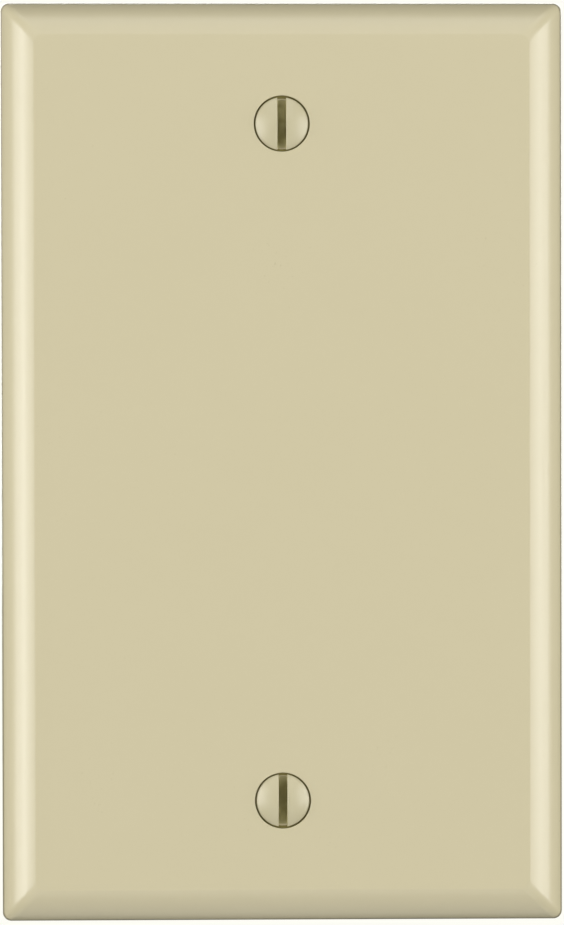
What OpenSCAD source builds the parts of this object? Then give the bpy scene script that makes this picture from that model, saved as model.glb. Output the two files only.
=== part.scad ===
// Single-gang blank wall plate with its two captive oval-head mounting screws.
// The wall is the plane y = 0 and the plate's face looks towards -Y, with +Z up.

/* [Plate] */
// Width of the plate from side edge to side edge
plate_w = 69.85; // [60:0.05:90]
// Height of the plate from bottom edge to top edge
plate_h = 114.3; // [108:0.1:140]
// Depth of the plate from the wall to its flat face
plate_t = 5.6; // [5.2:0.1:7]
// Thickness of the flat face
face_t = 2.3; // [2.1:0.1:2.8]
// Thickness of the rim's side walls
wall_t = 2; // [1.6:0.1:2.4]
// Width of the rolled edge, seen from the front
roll_w = 4.5; // [4:0.1:5]
// Height of the straight side wall between the wall and the roll
rim_h = 1.3; // [1:0.1:1.6]
// Tilt of the roll where it meets the flat face, in degrees
crease_tilt = 15; // [12:1:18]
// Radius of the outline's four corners
corner_r = 1.05; // [0.5:0.05:2]

/* [Ribs behind the face] */
// Thickness of each stiffening rib
rib_t = 1.2; // [0.8:0.1:2]
// Gap between the wall and the ribs
rib_gap = 1.3; // [0.8:0.1:2]
// Distance between the two long upright ribs
upright_gap = 34; // [16:1:50]
// Number of cross ribs between the two screws
cross_count = 3; // [1:1:5]
// Distance from one cross rib to the next
cross_gap = 19; // [8:1:19]

/* [Screw holes] */
// Distance between the two screw centres
screw_gap = 83.34; // [70:0.01:96]
// Diameter of the two screw holes
hole_d = 4; // [3.8:0.1:4.2]
// Diameter of each countersink where it meets the face
sink_d = 6.9; // [6.85:0.01:6.95]
// Depth of the straight wall above each countersink's cone
sink_wall = 0.35; // [0.2:0.05:0.5]
// Included angle of the countersinks and of the screw heads
sink_angle = 82; // [82:1:90]
// Diameter of the boss around each hole, behind the face
boss_d = 10.8; // [10:0.1:13]
// Diameter of the pocket in the boss, where the washer travels
pocket_d = 7.6; // [7.2:0.1:9]
// Gap between the wall and the bosses
boss_gap = 0.4; // [0.2:0.1:1]

/* [Screws] */
// Diameter of the head
head_d = 6.55; // [6.5:0.01:6.6]
// Height of the dome above the head's sharp edge
dome_h = 1.05; // [0.8:0.05:1.3]
// Depth of the head's sharp edge below the plate's face
head_drop = 0.17; // [0.1:0.01:0.17]
// Width of the driver slot
slot_w = 1.1; // [0.9:0.05:1.3]
// Depth of the driver slot below the top of the dome
slot_depth = 1.45; // [1:0.05:1.6]
// Outer diameter of the thread
thread_d = 3.5; // [3.4:0.01:3.5]
// Diameter of the plain neck between the head and the thread
neck_d = 3; // [2.8:0.05:3.1]
// Length of the screw from the head's sharp edge to the tip
screw_len = 12.7; // [12.7:0.1:16]

/* [Retaining washers] */
// Outer diameter of the washers
washer_d = 7; // [6:0.1:7]
// Thickness of the washers
washer_t = 0.8; // [0.5:0.1:1]
// Running clearance between a washer and its screw's neck
washer_fit = 0.03; // [0.02:0.01:0.08]
// Gap between the wall and a washer while its screw is seated
washer_gap = 0.05; // [0.05:0.05:0.3]

/* [Hidden] */
$fn = 96;
over = 1;                                   // extra length that carries a cut past a face

roll_drop = plate_t - rim_h;
half_sweep = atan(roll_drop / roll_w) - crease_tilt;
roll_r = norm([roll_w, roll_drop]) / (2 * sin(half_sweep));
roll_x = roll_w + roll_r * sin(crease_tilt);     // the roll's centre, in from the side edge
roll_y = roll_r * cos(crease_tilt) - plate_t;    // and its place behind the wall's plane
recess_d = plate_t - face_t;                // depth of the hollow behind the face
half_angle_tan = tan(sink_angle / 2);

edge_y = head_drop - plate_t;               // the head's sharp edge
cone_h = (head_d - neck_d) / 2 / half_angle_tan;
dome_r = (pow(head_d / 2, 2) + pow(dome_h, 2)) / (2 * dome_h);
tip_y = edge_y + screw_len;
tip_chamfer = 0.6;

washer_chamfer = 0.15;
seat_gap = 0.03;                            // between the head's cone and the countersink's

ivory = [0.85, 0.81, 0.68];
painted = [0.84, 0.80, 0.69];
nylon = [0.93, 0.92, 0.88];

// Turns what is built up along +Z into the screws' direction, +Y, at one of the two holes
module at_hole(side) {
    translate([0, 0, side * screw_gap / 2])
        rotate([-90, 0, 0])
            children();
}

// Cross-section of a block with both front corners rolled. It is set in from the plate's edges
// and reaches from depth in front of the wall's plane to behind it.
module rolled_section(half, inset, depth, behind, arc_r) {
    difference() {
        translate([inset - half, -depth])
            square([2 * (half - inset), depth + behind]);
        for (side = [-1, 1])
            translate([side * (half - roll_x), 0])
                difference() {
                    translate([side * roll_x / 2, -plate_t / 2])
                        square([roll_x, plate_t], center = true);
                    translate([0, roll_y])
                        circle(r = arc_r);
                }
    }
}

// A plan outline with rounded corners
module rounded_outline(w, h, r) {
    square([w - 2 * r, h], center = true);
    square([w, h - 2 * r], center = true);
    for (x = [-1, 1], z = [-1, 1])
        translate([x * (w / 2 - r), z * (h / 2 - r)])
            circle(r = r);
}

// Two rolled bars crossed at right angles, so that the rolls meet in mitred corners
module rolled_block(inset, depth, behind, arc_r, r) {
    intersection() {
        linear_extrude(plate_h, center = true)
            rolled_section(plate_w / 2, inset, depth, behind, arc_r);
        rotate([0, -90, 0])
            linear_extrude(plate_w, center = true)
                rolled_section(plate_h / 2, inset, depth, behind, arc_r);
        translate([0, behind, 0])
            rotate([90, 0, 0])
                linear_extrude(depth + behind)
                    rounded_outline(plate_w - 2 * inset, plate_h - 2 * inset, r);
    }
}

// A rib that stands on the back of the face, centred at x, z
module rib(x, z, w, h) {
    translate([x - w / 2, -plate_t, z - h / 2])
        cube([w, plate_t - rib_gap, h]);
}

// The ribs end inside the face and the side walls
module ribs() {
    end_h = (plate_h - screw_gap) / 2;
    intersection() {
        rolled_block(wall_t / 2, plate_t - face_t / 2, 0, roll_r - wall_t / 2, corner_r / 2);
        union() {
            for (x = [-1, 1])
                rib(x * upright_gap / 2, 0, rib_t, plate_h);
            for (i = [0 : cross_count - 1])
                rib(0, (i - (cross_count - 1) / 2) * cross_gap, plate_w, rib_t);
            for (z = [-1, 1]) {
                rib(0, z * screw_gap / 2, plate_w, rib_t);
                rib(0, z * (screw_gap + end_h) / 2, rib_t, end_h);
            }
        }
    }
}

module boss() {
    translate([0, 0, -recess_d - face_t / 2])
        cylinder(d = boss_d, h = recess_d + face_t / 2 - boss_gap);
}

// The hole through the face, its countersink with a straight wall above the cone, and the
// washer's pocket behind it
module screw_hole() {
    cone_y = sink_wall - plate_t;
    cone_d = head_d - 2 * (cone_y - edge_y) * half_angle_tan + 2 * seat_gap;
    translate([0, 0, -recess_d])
        cylinder(d = pocket_d, h = recess_d + over);
    translate([0, 0, cone_y])
        cylinder(d1 = cone_d, d2 = hole_d, h = (cone_d - hole_d) / 2 / half_angle_tan);
    translate([0, 0, -plate_t - over])
        cylinder(d = sink_d, h = sink_wall + over);
    translate([0, 0, cone_y])
        cylinder(d = hole_d, h = plate_t);
}

module wall_plate() {
    color(ivory)
        difference() {
            union() {
                difference() {
                    rolled_block(0, plate_t, 0, roll_r, corner_r);
                    rolled_block(wall_t, recess_d, over, roll_r - wall_t, corner_r / 2);
                }
                ribs();
                for (side = [-1, 1])
                    at_hole(side)
                        boss();
            }
            for (side = [-1, 1])
                at_hole(side)
                    screw_hole();
        }
}

// One screw, built up along +Z with the wall at z = 0, where its thread starts
module screw() {
    color(painted)
        difference() {
            union() {
                intersection() {
                    translate([0, 0, edge_y + dome_r - dome_h])
                        sphere(r = dome_r);
                    translate([0, 0, edge_y - 2 * dome_h])
                        cylinder(d = head_d, h = 2 * dome_h);
                }
                translate([0, 0, edge_y])
                    cylinder(d1 = head_d, d2 = neck_d, h = cone_h);
                translate([0, 0, edge_y])
                    cylinder(d = neck_d, h = -edge_y);
                cylinder(d = thread_d, h = tip_y - tip_chamfer);
                translate([0, 0, tip_y - tip_chamfer])
                    cylinder(d1 = thread_d, d2 = thread_d - 2 * tip_chamfer, h = tip_chamfer);
            }
            translate([-slot_w / 2, -head_d, edge_y - 2 * dome_h])
                cube([slot_w, 2 * head_d, dome_h + slot_depth]);
        }
}

// One washer, built up along +Z with the wall at z = 0. It is trapped on the neck: the thread
// carries it outwards as the screw is loosened, until it meets the back of the face.
module retaining_washer() {
    flat_d = washer_d - 2 * washer_chamfer;
    color(nylon)
        translate([0, 0, -washer_gap - washer_t])
            difference() {
                union() {
                    cylinder(d1 = flat_d, d2 = washer_d, h = washer_chamfer);
                    translate([0, 0, washer_chamfer])
                        cylinder(d = washer_d, h = washer_t - 2 * washer_chamfer);
                    translate([0, 0, washer_t - washer_chamfer])
                        cylinder(d1 = washer_d, d2 = flat_d, h = washer_chamfer);
                }
                translate([0, 0, -over])
                    cylinder(d = neck_d + 2 * washer_fit, h = washer_t + 2 * over);
            }
}

module upper_screw() {
    at_hole(1)
        screw();
}

module lower_screw() {
    at_hole(-1)
        screw();
}

module upper_retaining_washer() {
    at_hole(1)
        retaining_washer();
}

module lower_retaining_washer() {
    at_hole(-1)
        retaining_washer();
}

wall_plate();
upper_screw();
lower_screw();
upper_retaining_washer();
lower_retaining_washer();
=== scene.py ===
import math

import bmesh
import bpy
from mathutils import Matrix, Vector


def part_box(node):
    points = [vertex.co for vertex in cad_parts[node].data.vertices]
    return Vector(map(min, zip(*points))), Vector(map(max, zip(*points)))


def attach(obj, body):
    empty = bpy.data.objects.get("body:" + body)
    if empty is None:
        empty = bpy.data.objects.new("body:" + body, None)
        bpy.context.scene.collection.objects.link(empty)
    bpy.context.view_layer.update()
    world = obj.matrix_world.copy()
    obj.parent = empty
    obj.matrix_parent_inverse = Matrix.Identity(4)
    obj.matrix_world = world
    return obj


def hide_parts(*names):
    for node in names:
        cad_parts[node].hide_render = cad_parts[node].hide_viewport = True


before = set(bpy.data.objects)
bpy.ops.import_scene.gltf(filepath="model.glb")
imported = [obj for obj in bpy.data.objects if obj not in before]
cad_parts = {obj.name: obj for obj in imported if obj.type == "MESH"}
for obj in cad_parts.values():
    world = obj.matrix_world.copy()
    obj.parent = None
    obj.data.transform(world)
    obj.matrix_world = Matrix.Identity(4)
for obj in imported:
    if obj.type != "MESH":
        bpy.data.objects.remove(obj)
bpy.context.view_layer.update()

print("frame loaded:", ", ".join(sorted(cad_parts)))

mm = 0.001   # meshes are drawn in millimetres and scaled to metres when they are finished


# ---- lengths that come from the frame, in millimetres

def boxOf(node):
    low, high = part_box(node)
    return Vector(low) / mm, Vector(high) / mm


plateLow, plateHigh = boxOf("wall_plate")
plateWidth = plateHigh.x - plateLow.x
plateHeight = plateHigh.z - plateLow.z
plateDepth = -plateLow.y
screwNodes = ["upper_screw", "lower_screw"]
washerNodes = ["upper_retaining_washer", "lower_retaining_washer"]


def axisHeight(node):
    low, high = boxOf(node)
    return (low.z + high.z) / 2


screwHeights = [axisHeight(node) for node in washerNodes]


# ---- mesh helpers

# Welds what coincides and drops faces without area
def cleanMesh(work, weld=1e-4, flat=1e-5):
    bmesh.ops.remove_doubles(work, verts=work.verts, dist=weld)
    bmesh.ops.dissolve_degenerate(work, edges=work.edges, dist=flat)


# Cleans what was drawn, turns every face outwards and makes an object of it
def closeMesh(name, work):
    cleanMesh(work)
    bmesh.ops.recalc_face_normals(work, faces=work.faces)
    mesh = bpy.data.meshes.new(name)
    work.to_mesh(mesh)
    work.free()
    piece = bpy.data.objects.new(name, mesh)
    bpy.context.scene.collection.objects.link(piece)
    return piece


# Faces between each ring of points and the next one
def joinRings(work, rings):
    for first, second in zip(rings, rings[1:]):
        for i in range(len(first)):
            j = (i + 1) % len(first)
            work.faces.new((first[i], first[j], second[j], second[i]))


# A closed mesh from loops of equally many points, joined in order and capped at both ends
def loftMesh(name, loops):
    work = bmesh.new()
    rings = [[work.verts.new(point) for point in loop] for loop in loops]
    joinRings(work, rings)
    work.faces.new(list(reversed(rings[0])))
    work.faces.new(rings[-1])
    return closeMesh(name, work)


# A solid of revolution about a line along Y at height z; the profile is (radius, y) from axis to axis
def lathe(name, profile, z, steps=96):
    turn = [2 * math.pi * k / steps for k in range(steps)]
    work = bmesh.new()
    rings = []
    for radius, y in profile[1:-1]:
        rings.append([work.verts.new((radius * math.cos(a), y, z + radius * math.sin(a))) for a in turn])
    joinRings(work, rings)
    for ring, end in ((rings[0], profile[0]), (rings[-1], profile[-1])):
        tip = work.verts.new((0, end[1], z))
        for i in range(steps):
            work.faces.new((ring[i], ring[(i + 1) % steps], tip))
    return closeMesh(name, work)


# Points of an arc, in degrees, both ends included
def arc(centre, radius, start, end, steps):
    points = []
    for k in range(steps + 1):
        a = math.radians(start + (end - start) * k / steps)
        points.append((centre[0] + radius * math.cos(a), centre[1] + radius * math.sin(a)))
    return points


# Adds the tool to the piece or cuts it away, then deletes the tool
def combine(piece, tool, how):
    change = piece.modifiers.new("combine", "BOOLEAN")
    change.operation = how
    change.object = tool
    change.solver = "MANIFOLD"
    bpy.context.view_layer.update()
    seen = piece.evaluated_get(bpy.context.evaluated_depsgraph_get())
    mesh = bpy.data.meshes.new_from_object(seen)
    piece.modifiers.clear()
    piece.data = mesh
    bpy.data.objects.remove(tool)


# Tidies a finished solid, scales it to metres, and shades it smooth up to the given angle
def finishPiece(piece, body, node, material, sharpAngle=38):
    work = bmesh.new()
    work.from_mesh(piece.data)
    cleanMesh(work, 2e-4, 1e-4)
    for face in work.faces:
        face.smooth = True
    bmesh.ops.scale(work, vec=(mm, mm, mm), verts=work.verts)
    work.to_mesh(piece.data)
    work.free()
    piece.data.set_sharp_from_angle(angle=math.radians(sharpAngle))
    even = piece.modifiers.new("even shading", "WEIGHTED_NORMAL")
    even.keep_sharp = True
    even.weight = 80
    piece.data.materials.clear()
    piece.data.materials.append(material)
    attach(piece, body)
    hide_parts(node)


# ---- shader helpers

# One output socket of a node tree, with arithmetic that adds Math nodes
class Shade:
    def __init__(self, tree, socket=None):
        self.tree = tree
        self.socket = socket

    # Any node: its settings are set first, then its sockets get values or links
    def node(self, kind, settings=None, sockets=None, out=0):
        made = self.tree.nodes.new(kind)
        for name, value in (settings or {}).items():
            setattr(made, name, value)
        for key, value in (sockets or {}).items():
            if isinstance(value, Shade):
                self.tree.links.new(value.socket, made.inputs[key])
            else:
                made.inputs[key].default_value = value
        return Shade(self.tree, made.outputs[out] if len(made.outputs) else None)

    # Object coordinates: the whole vector, then x, y and z
    def place(self):
        where = self.node("ShaderNodeTexCoord", out=3)
        parts = self.node("ShaderNodeSeparateXYZ", sockets={"Vector": where}).socket.node
        return [where] + [Shade(self.tree, output) for output in parts.outputs]

    def maths(self, operation, first, second=0.0):
        return self.node("ShaderNodeMath", {"operation": operation}, {0: first, 1: second})

    def __add__(self, other):
        return self.maths("ADD", self, other)

    __radd__ = __add__

    def __mul__(self, other):
        return self.maths("MULTIPLY", self, other)

    __rmul__ = __mul__

    def __sub__(self, other):
        return self.maths("SUBTRACT", self, other)

    def __rsub__(self, other):
        return self.maths("SUBTRACT", other, self)

    def size(self):
        return self.maths("ABSOLUTE", self)

    # 0 below low, 1 above high, smooth between
    def step(self, low, high):
        ranges = {"From Min": low, "From Max": high, "To Min": 0.0, "To Max": 1.0, "Value": self}
        return self.node("ShaderNodeMapRange", {"interpolation_type": "SMOOTHSTEP"}, ranges)


def startMaterial(name):
    material = bpy.data.materials.new(name)
    material.use_nodes = True
    material.node_tree.nodes.clear()
    return material, Shade(material.node_tree)


# Colour a where the mask is 0, colour b where it is 1
def mixColours(base, mask, a, b):
    sockets = {"Factor": mask, "A": a, "B": b}
    return base.node("ShaderNodeMix", {"data_type": "RGBA"}, sockets, out=2)


def noise(base, where, scale, detail=3.0):
    sockets = {"Vector": where, "Scale": scale, "Detail": detail, "Roughness": 0.55}
    return base.node("ShaderNodeTexNoise", {"noise_dimensions": "3D"}, sockets)


def bump(base, height, distance):
    sockets = {"Height": height, "Distance": distance, "Strength": 1.0}
    return base.node("ShaderNodeBump", sockets=sockets)


def endMaterial(base, sockets):
    shader = base.node("ShaderNodeBsdfPrincipled", sockets=sockets)
    base.node("ShaderNodeOutputMaterial", sockets={"Surface": shader})


# How far a point is above the nearer screw's axis, and how far it is from that axis
def fromScrew(base, x, z):
    up = z.size() - screwHeights[0] * mm
    return up, base.maths("SQRT", x * x + up * up)


# ---- the ivory moulding

plateLooks = {
    "colour": (0.60, 0.541, 0.354, 1),
    "shadeColour": (0.597, 0.538, 0.351, 1),
    "gapShadeColour": (0.19, 0.16, 0.045, 1),       # painted shade in the narrow gap around each screw head
    "gapShadeSpan": (0.03, 0.43),                   # depth behind the face where that painted shade starts and ends
    "outlineShadeColour": (0.30, 0.265, 0.165, 1),   # painted shade: a darker band on the rim's side, along the outline
    "outlineShadeSpan": (1.05, 2.15),                # how far that band starts and ends from the wall
    "outlineShadeReach": 0.6,                        # and how deep it shows, in from the outline
    "roughness": 0.29,
    "specular": 0.65,
    "peelDepth": 0.0000035,
}


def ivoryPlastic():
    looks = plateLooks
    material, base = startMaterial("ivory_moulded_plastic")
    where, x, y, z = base.place()
    fromAxis = fromScrew(base, x, z)[1]
    rim = (plateShape["sinkRadius"] + 0.03) * mm
    mouth, ledge = [(depth - plateDepth) * mm for depth in looks["gapShadeSpan"]]
    # painted shade: a darker colour on the countersink's straight wall and ledge, where the gap round the
    # head lies in shadow
    gapShade = (1 - fromAxis.step(rim, rim + 0.00002)) * y.step(mouth, mouth + 0.00006)
    gapShade = gapShade * (1 - y.step(ledge - 0.00005, ledge))
    clouds = noise(base, where, 55.0, 2.0)
    grain = noise(base, where, 2600.0, 2.0)
    peel = noise(base, where, 420.0, 2.0)
    colour = mixColours(base, clouds.step(0.3, 0.7), looks["colour"], looks["shadeColour"])
    # painted shade: a darker band round the rim's side, close to the outline
    nearWall, farWall = [-distance * mm for distance in looks["outlineShadeSpan"]]
    outlineShade = y.step(farWall, farWall + 0.00035) * (1 - y.step(nearWall - 0.0002, nearWall))
    besideX, besideZ = [(side / 2 - looks["outlineShadeReach"]) * mm for side in (plateWidth, plateHeight)]
    outside = x.size().step(besideX, besideX + 0.0001)
    above = z.size().step(besideZ, besideZ + 0.0001)
    outlineShade = outlineShade * base.maths("MAXIMUM", outside, above)
    colour = mixColours(base, outlineShade, colour, looks["outlineShadeColour"])
    endMaterial(base, {
        "Base Color": mixColours(base, gapShade, colour, looks["gapShadeColour"]),
        "Roughness": looks["roughness"] + (clouds - 0.5) * 0.03 + (grain - 0.5) * 0.05,
        "Specular IOR Level": looks["specular"],
        "IOR": 1.5,
        "Normal": bump(base, peel + grain * 0.12, looks["peelDepth"]),
    })
    return material


# ---- painted steel screws

screwLooks = {
    "paint": (0.545, 0.495, 0.32, 1),
    "paintRoughness": 0.34,
    "zinc": (0.62, 0.63, 0.64, 1),
    "zincShade": (0.50, 0.51, 0.50, 1),
    # painted shade inside the slot, in two darker tones, and a paler painted shade towards its ends
    "slotShadeTone": (0.43, 0.385, 0.175, 1),
    "slotDeepShade": (0.26, 0.23, 0.085, 1),
    "slotEndShadeTone": (0.50, 0.45, 0.24, 1),
    "slotEndSpan": (2.1, 3.1),      # where the slot's painted shade gets paler, out from the screw's middle
    "rimShadeTone": (0.24, 0.21, 0.08, 1),
    "rimReach": 0.05,               # width of the painted shade line at the head's sharp edge
    "slotReach": 0.463,             # how far the slot's painted shade goes behind the sharp edge
    "paintReach": 1.3,              # how far behind the sharp edge the paint thins out
    "grainDepth": 0.000006,
}


# Paint covers the head and thins out under it, where the plated neck begins
def paintedSteel():
    looks = screwLooks
    low, high = boxOf("upper_screw")
    edgeY = (low.y + screwShape["domeHeight"]) * mm
    material, base = startMaterial("painted_zinc_plated_steel")
    where, x, y, z = base.place()
    up, fromAxis = fromScrew(base, x, z)
    headEdge = (high.x - looks["rimReach"]) * mm
    # painted shade: a dark line round the head's sharp edge, in the gap beside the countersink
    rimShade = fromAxis.step(headEdge, headEdge + 0.00002) * (1 - y.step(edgeY + 0.0001, edgeY + 0.0002))
    half = screwShape["slotWidth"] / 2 * mm
    slotBack = edgeY + looks["slotReach"] * mm
    inSlot = (1 - x.size().step(half, half + 0.00002)) * (1 - y.step(slotBack - 0.00004, slotBack))
    patches = noise(base, where, 900.0, 3.0)
    fine = noise(base, where, 5200.0, 2.0)
    underHead = edgeY + looks["paintReach"] * mm
    bare = (y + (patches - 0.5) * 0.0009).step(underHead - 0.0002, underHead + 0.0002)
    zincTone = mixColours(base, patches, looks["zinc"], looks["zincShade"])
    # painted shade in the slot: two darker tones mixed in patches, paler towards the slot's ends
    slotShadePatches = noise(base, where, 380.0, 2.0).step(0.35, 0.6)
    slotShadeTone = mixColours(base, slotShadePatches, looks["slotShadeTone"], looks["slotDeepShade"])
    nearEnd, end = [reach * mm for reach in looks["slotEndSpan"]]
    slotShadeTone = mixColours(base, up.size().step(nearEnd, end) * 0.75, slotShadeTone, looks["slotEndShadeTone"])
    painted = mixColours(base, inSlot, looks["paint"], slotShadeTone)
    painted = mixColours(base, rimShade, painted, looks["rimShadeTone"])
    endMaterial(base, {
        "Base Color": mixColours(base, bare, painted, zincTone),
        "Metallic": bare,
        "Roughness": looks["paintRoughness"] + (patches - 0.5) * 0.10 + bare * 0.02 + inSlot * 0.45,
        "IOR": 1.5,
        "Normal": bump(base, patches * 0.6 + fine * 0.3, looks["grainDepth"]),
    })
    return material


# ---- natural nylon

nylonLooks = {
    "colour": (0.74, 0.71, 0.62, 1),
    "shadeColour": (0.67, 0.64, 0.54, 1),
    "roughness": 0.46,
    "lightDepth": (0.0012, 0.0011, 0.0008),     # how far light travels inside it
    "grainDepth": 0.000008,
}


def naturalNylon():
    looks = nylonLooks
    material, base = startMaterial("natural_nylon")
    where = base.place()[0]
    clouds = noise(base, where, 700.0, 3.0)
    fine = noise(base, where, 4200.0, 2.0)
    endMaterial(base, {
        "Base Color": mixColours(base, clouds.step(0.3, 0.7), looks["colour"], looks["shadeColour"]),
        "Roughness": looks["roughness"] + (clouds - 0.5) * 0.12,
        "Subsurface Weight": 0.15,
        "Subsurface Radius": looks["lightDepth"],
        "Normal": bump(base, clouds * 0.7 + fine * 0.3, looks["grainDepth"]),
    })
    return material


# ---- the plate

plateShape = {
    "rollWidth": 4.5,
    "rimHeight": 1.3,          # upright part of the rim, behind the roll
    "creaseTilt": 15.0,        # of the roll, where it meets the face
    "backRound": 0.2,
    "rimRound": 0.3,           # length over which the rim turns into the roll
    "creaseRound": 0.14,       # and over which the roll turns into the face
    "cornerRadius": 1.05,      # of the outline, at the wall
    "mitreRadius": 1.1,        # of the roll's softened corners, where they reach the face
    "cornerSteps": 10,
    "wall": 2.0,
    "face": 2.3,
    "seatRound": 0.2,          # of the rim's inner edge, on the wall side
    "hollowCorner": 0.8,       # radius of the hollow's corners
    "ribThickness": 1.2,
    "ribGap": 1.3,             # between the wall and the ribs
    "ribReach": 1.4,           # the ribs end this far inside the outline, within the rim
    "ribSink": 0.25,           # their roots start this far inside the face
    "ribRoot": [(0.42, 0.0), (0.30, 0.28), (0.12, 0.42), (0.04, 0.70)],    # extra half width, height
    "ribTop": [(-0.02, -0.18), (-0.08, -0.05), (-0.22, 0.0)],
    "uprightGap": 34.0,
    "crossCount": 3,
    "crossGap": 19.0,
    "bossRadius": 5.4,
    "bossGap": 0.4,            # between the wall and the bosses
    "bossSink": 0.2,
    "bossRoot": [(0.75, 0.0), (0.5, 0.25), (0.2, 0.5), (0.05, 0.9)],       # extra radius, height
    "bossRound": 0.35,
    "pocketRadius": 3.8,       # where the washer travels
    "pocketBevel": 0.2,
    "pocketFoot": [(-0.03, 0.25), (-0.1, 0.08), (-0.28, 0.0)],             # its rounded bottom edge
    "holeRadius": 2.0,
    "holeBevel": 0.12,
    "coneRadius": 3.149,
    "sinkRadius": 3.45,
    "sinkWall": 0.35,
    "ledgeRound": 0.04,
    "mouthRound": 0.07,
    "sinkAngle": 82.0,
    "pinRadius": 1.6,          # ejector pins
    "pinDepth": 0.12,
    "pinBevel": 0.03,
    "pinAside": 25.5,          # how far the outer columns of pin marks are from the middle
    "pinRows": (9.5, 28.5),    # and how far up and down the rows are
    "gateStub": [(0, -0.4), (1.5, -0.4), (1.35, 0.15), (0.9, 0.45), (0.8, 0.42), (0, 0.5)],
}


# A loop around the plate, set in from its outline, with rounded corners
def outlineLoop(inset, y, radius):
    halfW = plateWidth / 2 - inset
    halfH = plateHeight / 2 - inset
    steps = plateShape["cornerSteps"]
    points = []
    for quarter, (sx, sz) in enumerate(((1, 1), (-1, 1), (-1, -1), (1, -1))):
        centre = (sx * (halfW - radius), sz * (halfH - radius))
        for px, pz in arc(centre, radius, 90 * quarter, 90 * quarter + 90, steps):
            points.append((px, y, pz))
    return points


# A corner rounded between a point before it and a point after it
def softCorner(before, corner, after, steps):
    points = []
    for k in range(steps + 1):
        t = k / steps
        points.append(tuple(a * (1 - t) ** 2 + 2 * b * t * (1 - t) + c * t * t
                            for a, b, c in zip(before, corner, after)))
    return points


# Points (inset, y) of an arc about the roll's centre, from one tilt of the surface to another.
# Tilts are in radians from the flat face.
def rollArc(centre, radius, start, end, steps):
    points = []
    for k in range(steps + 1):
        tilt = start + (end - start) * k / steps
        points.append((centre[0] - radius * math.sin(tilt), centre[1] - radius * math.cos(tilt)))
    return points


# The hollow shell: the outside from the face's roll to the wall, then the inside
def plateShell():
    s = plateShape
    rollWidth, rim, faceY, wall = s["rollWidth"], s["rimHeight"], -plateDepth, s["wall"]
    crease = math.radians(s["creaseTilt"])
    halfSweep = math.atan2(plateDepth - rim, rollWidth) - crease
    radius = math.hypot(rollWidth, plateDepth - rim) / (2 * math.sin(halfSweep))
    centre = (rollWidth + radius * math.sin(crease), faceY + radius * math.cos(crease))
    rimTilt = crease + 2 * halfSweep
    back = s["backRound"]
    rollStart, rollEnd = rimTilt - s["rimRound"] / radius, crease + s["creaseRound"] / radius
    roll = rollArc(centre, radius, rollStart, rollEnd, 30)
    outer = arc((back, -back), back, 90, 180, 4)
    outer += softCorner((0, s["rimRound"] - rim), (0, -rim), roll[0], 4)
    outer += roll[1:-1]
    outer += softCorner(roll[-1], (rollWidth, faceY), (rollWidth + s["creaseRound"], faceY), 6)

    def cornerAt(inset):
        share = min(1.0, inset / rollWidth)
        return s["cornerRadius"] + (s["mitreRadius"] - s["cornerRadius"]) * share ** 0.7

    loops = [outlineLoop(inset, y, cornerAt(inset)) for inset, y in reversed(outer)]
    seat = s["seatRound"]
    innerRadius = radius - wall
    wallTilt = math.asin((centre[0] - wall) / innerRadius)
    floorTilt = math.acos((centre[1] + plateDepth - s["face"]) / innerRadius)
    inner = [(0.45, 0.0), (wall - seat, 0.0), (wall - seat * 0.3, -seat / 4), (wall, -seat)]
    inner += rollArc(centre, innerRadius, wallTilt, floorTilt, 12)
    loops += [outlineLoop(inset, y, s["hollowCorner"]) for inset, y in inner]
    return loftMesh("wall_plate_moulding", loops)


# A rib on the back of the face: upright or crosswise, with draft, rounded top edges and a flared root
def ribSolid(x, z, width, height):
    s = plateShape
    top = -s["ribGap"]
    root = s["face"] - plateDepth - s["ribSink"]
    half = s["ribThickness"] / 2
    levels = [(half + extra, root + rise) for extra, rise in s["ribRoot"]]
    levels += [(half + extra, top + rise) for extra, rise in s["ribTop"]]
    upright = height > width
    length = max(width, height) / 2
    loops = []
    for wide, y in levels:
        a = wide if upright else length
        b = length if upright else wide
        loops.append([(x + a, y, z + b), (x - a, y, z + b), (x - a, y, z - b), (x + a, y, z - b)])
    return loftMesh("rib", loops)


def addRibs(plate):
    s = plateShape
    reach, thick = s["ribReach"], s["ribThickness"]
    inW = plateWidth - 2 * reach
    inH = plateHeight - 2 * reach
    ribs = [(sx * s["uprightGap"] / 2, 0, thick, inH) for sx in (-1, 1)]
    middle = (s["crossCount"] - 1) / 2
    ribs += [(0, (i - middle) * s["crossGap"], inW, thick) for i in range(s["crossCount"])]
    for height in screwHeights:
        end = math.copysign(plateHeight / 2 - reach, height)
        ribs.append((0, height, inW, thick))
        ribs.append((0, (height + end) / 2, thick, abs(end - height)))
    for x, z, width, height in ribs:
        combine(plate, ribSolid(x, z, width, height), "UNION")


def addBosses(plate):
    s = plateShape
    radius, soft = s["bossRadius"], s["bossRound"]
    back = -s["bossGap"]
    root = s["face"] - plateDepth - s["bossSink"]
    profile = [(0, root)] + [(radius + extra, root + rise) for extra, rise in s["bossRoot"]]
    profile += arc((radius - soft - 0.02, back - soft), soft, 0, 90, 6)
    profile.append((0, back))
    for height in screwHeights:
        combine(plate, lathe("boss", profile, height), "UNION")


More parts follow.
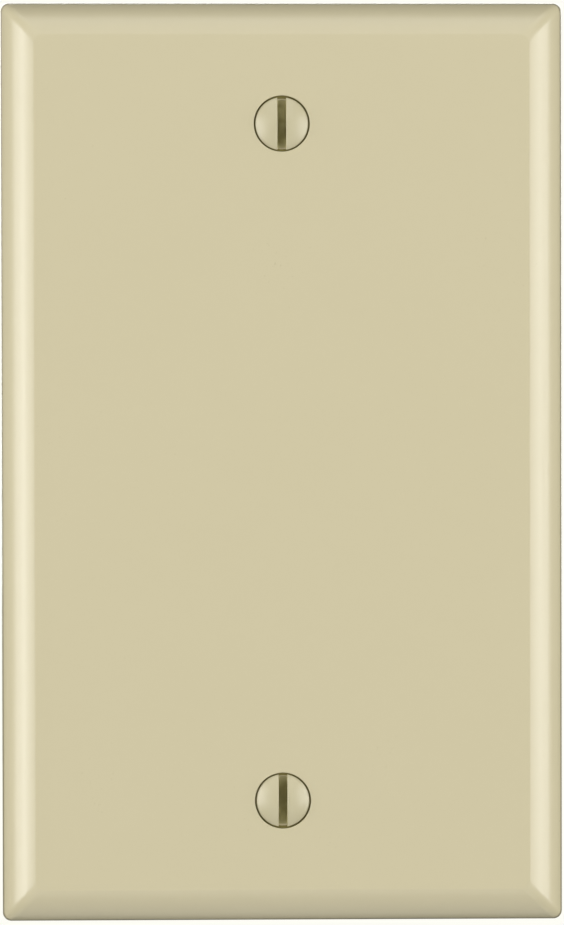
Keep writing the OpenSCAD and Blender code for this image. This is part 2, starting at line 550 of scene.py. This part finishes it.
# The screw holes, from the back: the washer's pocket, a straight bore, the countersink's cone and
# ledge, and its straight wall with a softly rounded mouth
def cutHoles(plate):
    s = plateShape
    slope = math.tan(math.radians(s["sinkAngle"] / 2))
    back, floorY = -s["bossGap"], s["face"] - plateDepth
    pocket, bevel = s["pocketRadius"], s["pocketBevel"]
    bore, edge, cone = s["holeRadius"], s["holeBevel"], s["coneRadius"]
    sink, corner, soft = s["sinkRadius"], s["ledgeRound"], s["mouthRound"]
    ledgeY = s["sinkWall"] - plateDepth
    clear = 1.0     # carries the cut past both faces
    profile = [(0, clear), (pocket + bevel, clear), (pocket + bevel, back), (pocket, back - bevel)]
    profile += [(pocket + extra, floorY + rise) for extra, rise in s["pocketFoot"]]
    profile += [(bore + edge, floorY), (bore, floorY - edge), (bore, ledgeY + (cone - bore) / slope)]
    profile += [(cone, ledgeY), (sink - corner, ledgeY), (sink, ledgeY - corner)]
    profile += arc((sink + soft, soft - plateDepth), soft, 180, 270, 5)[:-1]
    profile += [(sink + soft, -plateDepth - 0.0005), (sink + soft + 0.3, -plateDepth - clear)]
    profile.append((0, -plateDepth - clear))
    for height in screwHeights:
        combine(plate, lathe("hole", profile, height, 128), "DIFFERENCE")


# Round marks that the ejector pins leave on the back, and the gate's trimmed stub
def addMouldMarks(plate):
    s = plateShape
    floorY = s["face"] - plateDepth
    aside, near, far = s["pinAside"], s["pinRows"][0], s["pinRows"][1]
    spots = [(sx * aside, sz * far) for sx in (-1, 1) for sz in (-1, 1)]
    spots += [(sx * aside, sz * near) for sx in (-1, 1) for sz in (-1, 1)]
    spots += [(0, sz * near) for sz in (-1, 1)]
    radius, deep, bevel = s["pinRadius"], floorY - s["pinDepth"], s["pinBevel"]
    profile = [(0, floorY + 1), (radius, floorY + 1), (radius, deep + bevel)]
    profile += [(radius - bevel, deep), (0, deep)]
    for x, z in spots:
        mark = lathe("pin_mark", profile, z, 48)
        mark.data.transform(Matrix.Translation((x, 0, 0)))
        combine(plate, mark, "DIFFERENCE")
    gate = lathe("gate", [(reach, floorY + rise) for reach, rise in s["gateStub"]], far, 40)
    combine(plate, gate, "UNION")


def buildPlate(material):
    plate = plateShell()
    addRibs(plate)
    addBosses(plate)
    cutHoles(plate)
    addMouldMarks(plate)
    finishPiece(plate, "plate", "wall_plate", material)
    print("wall plate:", len(plate.data.polygons), "faces")


# ---- the screws

screwShape = {
    "domeHeight": 1.05,
    "headAngle": 82.0,
    "domeSteps": 14,
    "rimRound": 0.07,       # size of the round on the sharp edge
    "rimPoints": [(0.35, -0.42), (0.12, -0.1), (0.12, 0.25), (0.5, 0.62)],     # its shares, inwards and back
    "slotWidth": 1.06,
    "slotDepth": 1.45,
    "slotCorner": 0.10,     # at the bottom of the slot
    "slotRound": 0.09,      # of its lips
    "neckRadius": 1.5,
    "neckFlare": 0.35,      # extra radius where the cone turns into the neck
    "threadRadius": 1.745,
    "rootRadius": 1.29,
    "pitch": 0.79375,
    "crest": 0.10,          # flat width of the thread's crest, as a share of the pitch
    "flank": 0.34,          # and width of each of its flanks
    "runIn": (0.25, 0.5),   # where the thread starts behind the neck, and how far it takes to rise
    "runOut": 1.1,          # how far it takes to fall before the tip
    "tipBevel": (0.22, 0.35),   # its depth and length
    "threadSteps": 12,      # across one pitch
    "roundSteps": 64,       # around the shank
}


# Height of the thread above its root, 0 to 1, across one pitch
def threadRise(share):
    crest, flank = screwShape["crest"], screwShape["flank"]
    distance = abs((share % 1.0) - 0.5)
    return min(1.0, max(0.0, (crest / 2 + flank - distance) / flank))


# 0 below 0, 1 above 1, smooth between
def easeIn(value):
    value = min(1.0, max(0.0, value))
    return value * value * (3 - 2 * value)


# The shank with its thread. Each turn of the grid climbs one pitch, so crest and root follow its lines.
def threadedShank(startY, tipY):
    s = screwShape
    across, around = s["threadSteps"], s["roundSteps"]
    (start, rise), (bevel, bevelLength) = s["runIn"], s["tipBevel"]
    depth = s["threadRadius"] - s["rootRadius"]
    count = int(math.ceil((tipY - startY) / s["pitch"]) + 1) * across
    work = bmesh.new()
    grid = []
    for i in range(count + 1):
        row = []
        for j in range(around):
            y = startY + (i / across + j / around - 1) * s["pitch"]
            y = min(tipY, max(startY, y))
            fade = easeIn((y - startY - start) / rise) * easeIn((tipY - y) / s["runOut"])
            radius = s["rootRadius"] + depth * threadRise(i / across) * fade
            radius -= bevel * easeIn(1 - (tipY - y) / bevelLength)
            a = -2 * math.pi * j / around
            row.append(work.verts.new((radius * math.cos(a), y, radius * math.sin(a))))
        grid.append(row)
    for i in range(count):
        for j in range(around - 1):
            work.faces.new((grid[i][j], grid[i][j + 1], grid[i + 1][j + 1], grid[i + 1][j]))
        if i + across < count:
            upper, lower = grid[i + across + 1][0], grid[i + across][0]
            work.faces.new((grid[i][-1], lower, upper, grid[i + 1][-1]))
    cleanMesh(work)
    bmesh.ops.holes_fill(work, edges=[edge for edge in work.edges if edge.is_boundary])
    return closeMesh("shank", work)


# The dome, the rounded sharp edge, the cone and the neck. It also gives the dome's radius and centre.
def screwHead(headRadius, edgeY):
    s = screwShape
    domeRadius = (headRadius ** 2 + s["domeHeight"] ** 2) / (2 * s["domeHeight"])
    slope = math.tan(math.radians(s["headAngle"] / 2))
    centreY = edgeY - s["domeHeight"] + domeRadius
    soft, steps = s["rimRound"], s["domeSteps"]
    profile = [(0, centreY - domeRadius)]
    lastTilt = math.asin(headRadius / domeRadius) - math.radians(1.6)
    for k in range(1, steps + 1):
        tilt = lastTilt * k / steps
        profile.append((domeRadius * math.sin(tilt), centreY - domeRadius * math.cos(tilt)))
    profile += [(headRadius - soft * inwards, edgeY + soft * back) for inwards, back in s["rimPoints"]]
    neck = s["neckRadius"]
    neckY = edgeY + (headRadius - neck) / slope
    for k in range(1, 7):
        radius = headRadius - soft + (neck + s["neckFlare"] - headRadius + soft) * k / 6
        profile.append((radius, edgeY + (headRadius - radius) / slope))
    profile += [(neck + 0.1, neckY - 0.06), (neck, neckY + 0.2), (neck, -0.12), (neck - 0.1, 0), (0, 0)]
    return lathe("head", profile, 0, 128), domeRadius, centreY


# The slot's cutter: upright sides, rounded corners at the bottom, and lips that follow the dome
def slotCutter(headRadius, domeRadius, centreY):
    s = screwShape
    half, corner, soft = s["slotWidth"] / 2, s["slotCorner"], s["slotRound"]
    floorY = centreY - domeRadius + s["slotDepth"]
    stations = 40
    loops = []
    for k in range(stations + 1):
        z = -headRadius * 1.15 + 2.3 * headRadius * k / stations
        reach = min(abs(z), headRadius * 0.985)
        surface = centreY - math.sqrt(domeRadius ** 2 - reach ** 2 - (half + soft) ** 2)
        lip = arc((half + soft, surface + soft), soft, 180, 268, 5)
        right = [(half - corner, floorY), (half - corner * 0.3, floorY - corner * 0.3)]
        right += [(half, floorY - corner)] + lip + [(half + soft + 0.25, surface - 1.2)]
        section = right + [(-x, y) for x, y in reversed(right)]
        loops.append([(x, y, z) for x, y in section])
    return loftMesh("slot", loops)


def buildScrew(node, height, material):
    low, high = boxOf(node)
    headRadius = (high.x - low.x) / 2
    edgeY = low.y + screwShape["domeHeight"]
    head, domeRadius, centreY = screwHead(headRadius, edgeY)
    shank = threadedShank(-0.3, high.y)
    combine(head, shank, "UNION")
    combine(head, slotCutter(headRadius, domeRadius, centreY), "DIFFERENCE")
    head.name = node + "_threaded"
    head.data.transform(Matrix.Translation((0, 0, height)))
    finishPiece(head, node, node, material, 34)
    print(node + ":", len(head.data.polygons), "faces")


# ---- the retaining washers

washerShape = {
    "bore": 1.53,
    "edgeRound": 0.16,
    "dish": 0.10,           # how much thinner the middle is, on each side
    "bevelStart": 0.95,     # where the thick ring begins to thin, in from the edge
    "bevelEnd": 1.1,
    "slitCount": 4,
    "slitWidth": 0.22,
    "slitReach": 0.75,
    "roundSteps": 96,
}


# A dished ring with rounded edges, and slits that let it spring over the thread
def buildWasher(node, body, height, material):
    s = washerShape
    low, high = boxOf(node)
    outer = (high.x - low.x) / 2
    bore, soft, dish = s["bore"], s["edgeRound"], s["dish"]
    front, back = low.y, high.y
    lip = soft * 0.4
    thick, thin = outer - s["bevelStart"], outer - s["bevelEnd"]
    ring = [(bore + lip, front + dish), (thin, front + dish), (thick, front)]
    ring += arc((outer - soft, front + soft), soft, -90, 0, 5)
    ring += arc((outer - soft, back - soft), soft, 0, 90, 5)
    ring += [(thick, back), (thin, back - dish), (bore + lip, back - dish)]
    ring += [(bore, back - dish - lip), (bore, front + dish + lip)]
    steps = s["roundSteps"]
    work = bmesh.new()
    rows = []
    for k in range(steps):
        a = 2 * math.pi * k / steps
        rows.append([work.verts.new((r * math.cos(a), y, r * math.sin(a))) for r, y in ring])
    joinRings(work, rows + rows[:1])
    washer = closeMesh(node + "_ring", work)
    half = s["slitWidth"] / 2
    outline = [(0.5, half)] + [(x, -z) for x, z in arc((bore + s["slitReach"], 0), half, -90, 90, 8)]
    outline.append((0.5, -half))
    for k in range(s["slitCount"]):
        slit = loftMesh("slit", [[(x, y, z) for x, z in outline] for y in (front - 0.5, back + 0.5)])
        turn = math.radians(45) + 2 * math.pi * k / s["slitCount"]
        slit.data.transform(Matrix.Rotation(turn, 4, "Y"))
        combine(washer, slit, "DIFFERENCE")
    washer.data.transform(Matrix.Translation((0, 0, height)))
    finishPiece(washer, body, node, material, 34)
    print(node + ":", len(washer.data.polygons), "faces")


# ---- studio

studio = {
    "cameraPlace": (-0.0045, -0.330, 0.0030),
    "cameraTurn": (-0.786, -0.53, 0.11),     # yaw, pitch and roll in degrees, from looking along +Y
    "lens": 102.6,
    "backdrop": (0.995, 0.99, 0.92, 1),
    "ambient": 0.05,                         # of the white light that comes from all round
    "floorDrop": 1.20,
    "floorSize": 1.6,
    "floorTones": ((0.90, 0.90, 0.88, 1), (0.93, 0.93, 0.91, 1)),
    "floorLampDrop": 0.60,                   # a lamp that faces down and lights only the floor
    "floorLampSize": 1.2,
    "floorLampPower": 3.0,
}

# Each softbox: direction from the plate in degrees round and up, then distance, width and height in
# metres, and power in watts
softboxes = {
    "left_edge": (-80.5, 0, 0.60, 0.14, 0.5, 0.90),
    "left_strip": (-64.5, 0, 0.60, 0.13, 0.5, 1.40),
    "left_wide": (-49, 0, 0.60, 0.21, 0.5, 1.00),
    "right_edge": (80.5, 0, 0.60, 0.14, 0.5, 0.98),
    "right_strip": (64.5, 0, 0.60, 0.13, 0.5, 1.10),
    "right_wide": (49, 0, 0.60, 0.21, 0.5, 1.16),
    "top_high": (0, 75, 0.80, 0.9, 0.25, 1.20),
    "top_middle": (0, 55, 0.80, 0.9, 0.30, 1.02),
    "top_front": (0, 34, 0.80, 0.9, 0.25, 0.72),
    "low_front": (0, -42, 0.80, 0.9, 0.40, 1.05),
    "front": (0, 3, 1.00, 1.3, 1.1, 0.60),
    "rear": (184, 14, 0.90, 0.9, 0.6, 8.0),
}


def addCamera():
    camera = bpy.data.cameras.new("camera")
    camera.lens = studio["lens"]
    camera.sensor_width = 36
    seen = bpy.data.objects.new("camera", camera)
    yaw, pitch, roll = [math.radians(angle) for angle in studio["cameraTurn"]]
    aim = Matrix.Rotation(yaw, 4, "Z") @ Matrix.Rotation(pitch, 4, "X") @ Matrix.Rotation(roll, 4, "Y")
    forwards = Matrix.Rotation(math.pi / 2, 4, "X")
    seen.matrix_world = Matrix.Translation(studio["cameraPlace"]) @ aim @ forwards
    bpy.context.scene.collection.objects.link(seen)
    bpy.context.scene.camera = seen


def placeLamp(name, lamp, matrix):
    holder = bpy.data.objects.new(name, lamp)
    holder.matrix_world = matrix
    holder.visible_camera = False
    bpy.context.scene.collection.objects.link(holder)


def addSoftboxes():
    for name, (turn, rise, distance, width, height, power) in softboxes.items():
        lamp = bpy.data.lights.new(name, "AREA")
        lamp.shape = "RECTANGLE"
        lamp.size = width
        lamp.size_y = height
        lamp.energy = power
        a, b = math.radians(turn), math.radians(rise)
        place = Vector((math.sin(a) * math.cos(b), -math.cos(a) * math.cos(b), math.sin(b))) * distance
        aim = (-place).to_track_quat("-Z", "Y").to_matrix().to_4x4()
        placeLamp(name, lamp, Matrix.Translation(place) @ aim)


def addFloorLamp():
    lamp = bpy.data.lights.new("floor_lamp", "AREA")
    lamp.size = studio["floorLampSize"]
    lamp.energy = studio["floorLampPower"]
    placeLamp("floor_lamp", lamp, Matrix.Translation((0, 0, -studio["floorLampDrop"])))


# A pale backdrop that gives only a little light
def addWorld():
    world = bpy.data.worlds.new("studio")
    world.use_nodes = True
    world.node_tree.nodes.clear()
    base = Shade(world.node_tree)
    seen = base.node("ShaderNodeLightPath")
    pale = base.node("ShaderNodeBackground", sockets={"Color": studio["backdrop"], "Strength": 1.0})
    white = (1, 1, 1, 1)
    soft = base.node("ShaderNodeBackground", sockets={"Color": white, "Strength": studio["ambient"]})
    both = base.node("ShaderNodeMixShader", sockets={0: seen, 1: soft, 2: pale})
    base.node("ShaderNodeOutputWorld", sockets={"Surface": both})
    bpy.context.scene.world = world


def addFloor():
    size = studio["floorSize"] / 2
    z = plateLow.z * mm - studio["floorDrop"]
    corners = [(-size, -size, z), (size, -size, z), (size, size, z), (-size, size, z)]
    mesh = bpy.data.meshes.new("floor")
    mesh.from_pydata(corners, [], [(0, 1, 2, 3)])
    floor = bpy.data.objects.new("floor", mesh)
    bpy.context.scene.collection.objects.link(floor)
    material, base = startMaterial("pale_floor")
    tone = mixColours(base, noise(base, base.place()[0], 3.0), *studio["floorTones"])
    endMaterial(base, {"Base Color": tone, "Roughness": 0.8})
    mesh.materials.append(material)


bpy.context.scene.view_settings.view_transform = "Standard"
addCamera()
addSoftboxes()
addFloorLamp()
addWorld()
addFloor()
print("studio: ready")

buildPlate(ivoryPlastic())
steel = paintedSteel()
nylon = naturalNylon()
for node, washerNode, height in zip(screwNodes, washerNodes, screwHeights):
    buildScrew(node, height, steel)
    buildWasher(washerNode, washerNode.replace("_retaining", ""), height, nylon)
